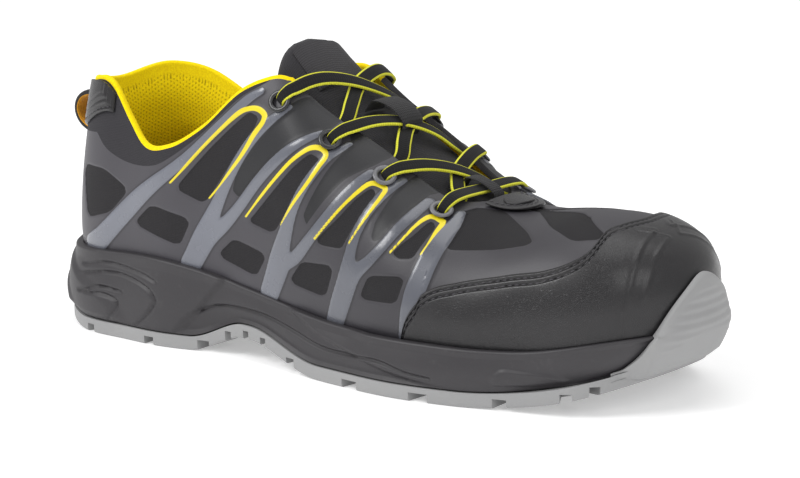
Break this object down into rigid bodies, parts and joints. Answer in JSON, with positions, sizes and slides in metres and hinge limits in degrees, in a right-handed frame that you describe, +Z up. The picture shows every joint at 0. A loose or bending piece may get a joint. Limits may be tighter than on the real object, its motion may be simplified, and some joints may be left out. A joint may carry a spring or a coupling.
{
  "type": "safety sneaker",
  "caption": "Low lace-up safety sneaker for the right foot with a hollow upper, cup midsole, wrapped toe bumper and lugged outsole, open at collar and throat.",
  "frame": {"origin": "under the middle of the shoe's bounding box, on the floor it stands on", "axes": "+X to the toe, +Y to the inner side of the foot, +Z up"},
  "size_m": [0.3028, 0.1138, 0.1236],
  "materials": {
    "outsole_rubber": "matt",
    "midsole_foam": "matt",
    "upper_film": "film over mesh",
    "smooth_leather": "smooth",
    "tongue_cloth": "matt",
    "lining_mesh": "matt",
    "lace_braid": "matt",
    "eyelet_plastic": "satin",
    "loop_webbing": "matt"
  },
  "bodies": {
    "root": {"outsole": "outsole_rubber", "midsole": "midsole_foam", "upper": "upper_film", "insole": "lining_mesh", "tongue": "tongue_cloth", "toe_guard": "smooth_leather", "heel_tab": "smooth_leather", "pull_loop": "loop_webbing", "keeper_tab": "smooth_leather", "eyelet_lateral_1": "eyelet_plastic", "eyelet_lateral_2": "eyelet_plastic", "eyelet_lateral_3": "eyelet_plastic", "eyelet_lateral_4": "eyelet_plastic", "eyelet_medial_1": "eyelet_plastic", "eyelet_medial_2": "eyelet_plastic", "eyelet_medial_3": "eyelet_plastic", "eyelet_medial_4": "eyelet_plastic", "lace_cross_1": "lace_braid", "lace_cross_2": "lace_braid", "lace_cross_3": "lace_braid", "lace_bar": "lace_braid"}
  },
  "joints": []
}
